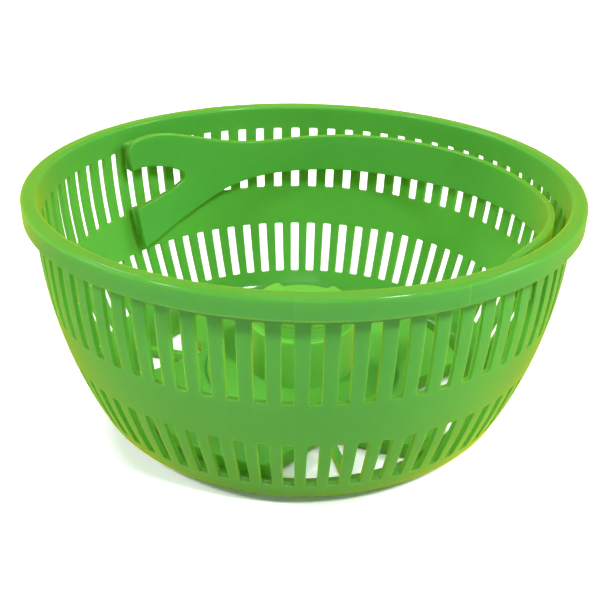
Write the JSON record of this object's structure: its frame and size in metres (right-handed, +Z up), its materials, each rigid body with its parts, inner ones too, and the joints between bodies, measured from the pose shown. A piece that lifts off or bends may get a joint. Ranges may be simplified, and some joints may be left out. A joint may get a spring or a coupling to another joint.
{
  "type": "salad spinner basket",
  "caption": "Round slotted salad-spinner basket with a rolled rim, a fold-down carry handle and a toothed drive hub that spins on a small foot.",
  "frame": {"origin": "on the spin axis, at the table under the foot", "axes": "+Z up along the spin axis, -Y towards the viewer of the front"},
  "size_m": [0.2492, 0.25, 0.111],
  "materials": {
    "green_plastic": "satin, translucent",
    "white_acetal": "smooth",
    "steel": "turned",
    "grey_rubber": "matte"
  },
  "bodies": {
    "foot": {"foot_plate": "green_plastic", "foot_ring": "grey_rubber", "spindle": "steel", "spindle_screw": "steel", "lower_thrust_washer": "white_acetal", "upper_thrust_washer": "white_acetal", "retaining_clip": "steel"},
    "basket": {"basket_wall": "green_plastic", "base_ring": "green_plastic", "floor_panels": "green_plastic", "floor_spokes": "green_plastic", "hub_disc": "green_plastic", "hub_tower": "green_plastic", "drive_coupling": "green_plastic", "coupling_screws": "steel", "lower_bush": "white_acetal", "upper_bush": "white_acetal", "left_hinge_stud": "steel", "right_hinge_stud": "steel", "left_hinge_washer": "white_acetal", "right_hinge_washer": "white_acetal"},
    "handle": {"carry_handle": "green_plastic", "left_hinge_bush": "white_acetal", "right_hinge_bush": "white_acetal"}
  },
  "joints": [
    {"name": "basket_spin", "type": "hinge", "parent": "foot", "child": "basket", "pos_m": [0, 0, 0], "axis": [0, 0, 1], "continuous": true},
    {"name": "handle_fold", "type": "hinge", "parent": "basket", "child": "handle", "pos_m": [0, 0, 0.095], "axis": [0.7687, -0.6396, 0], "range_deg": [0, 90]}
  ]
}
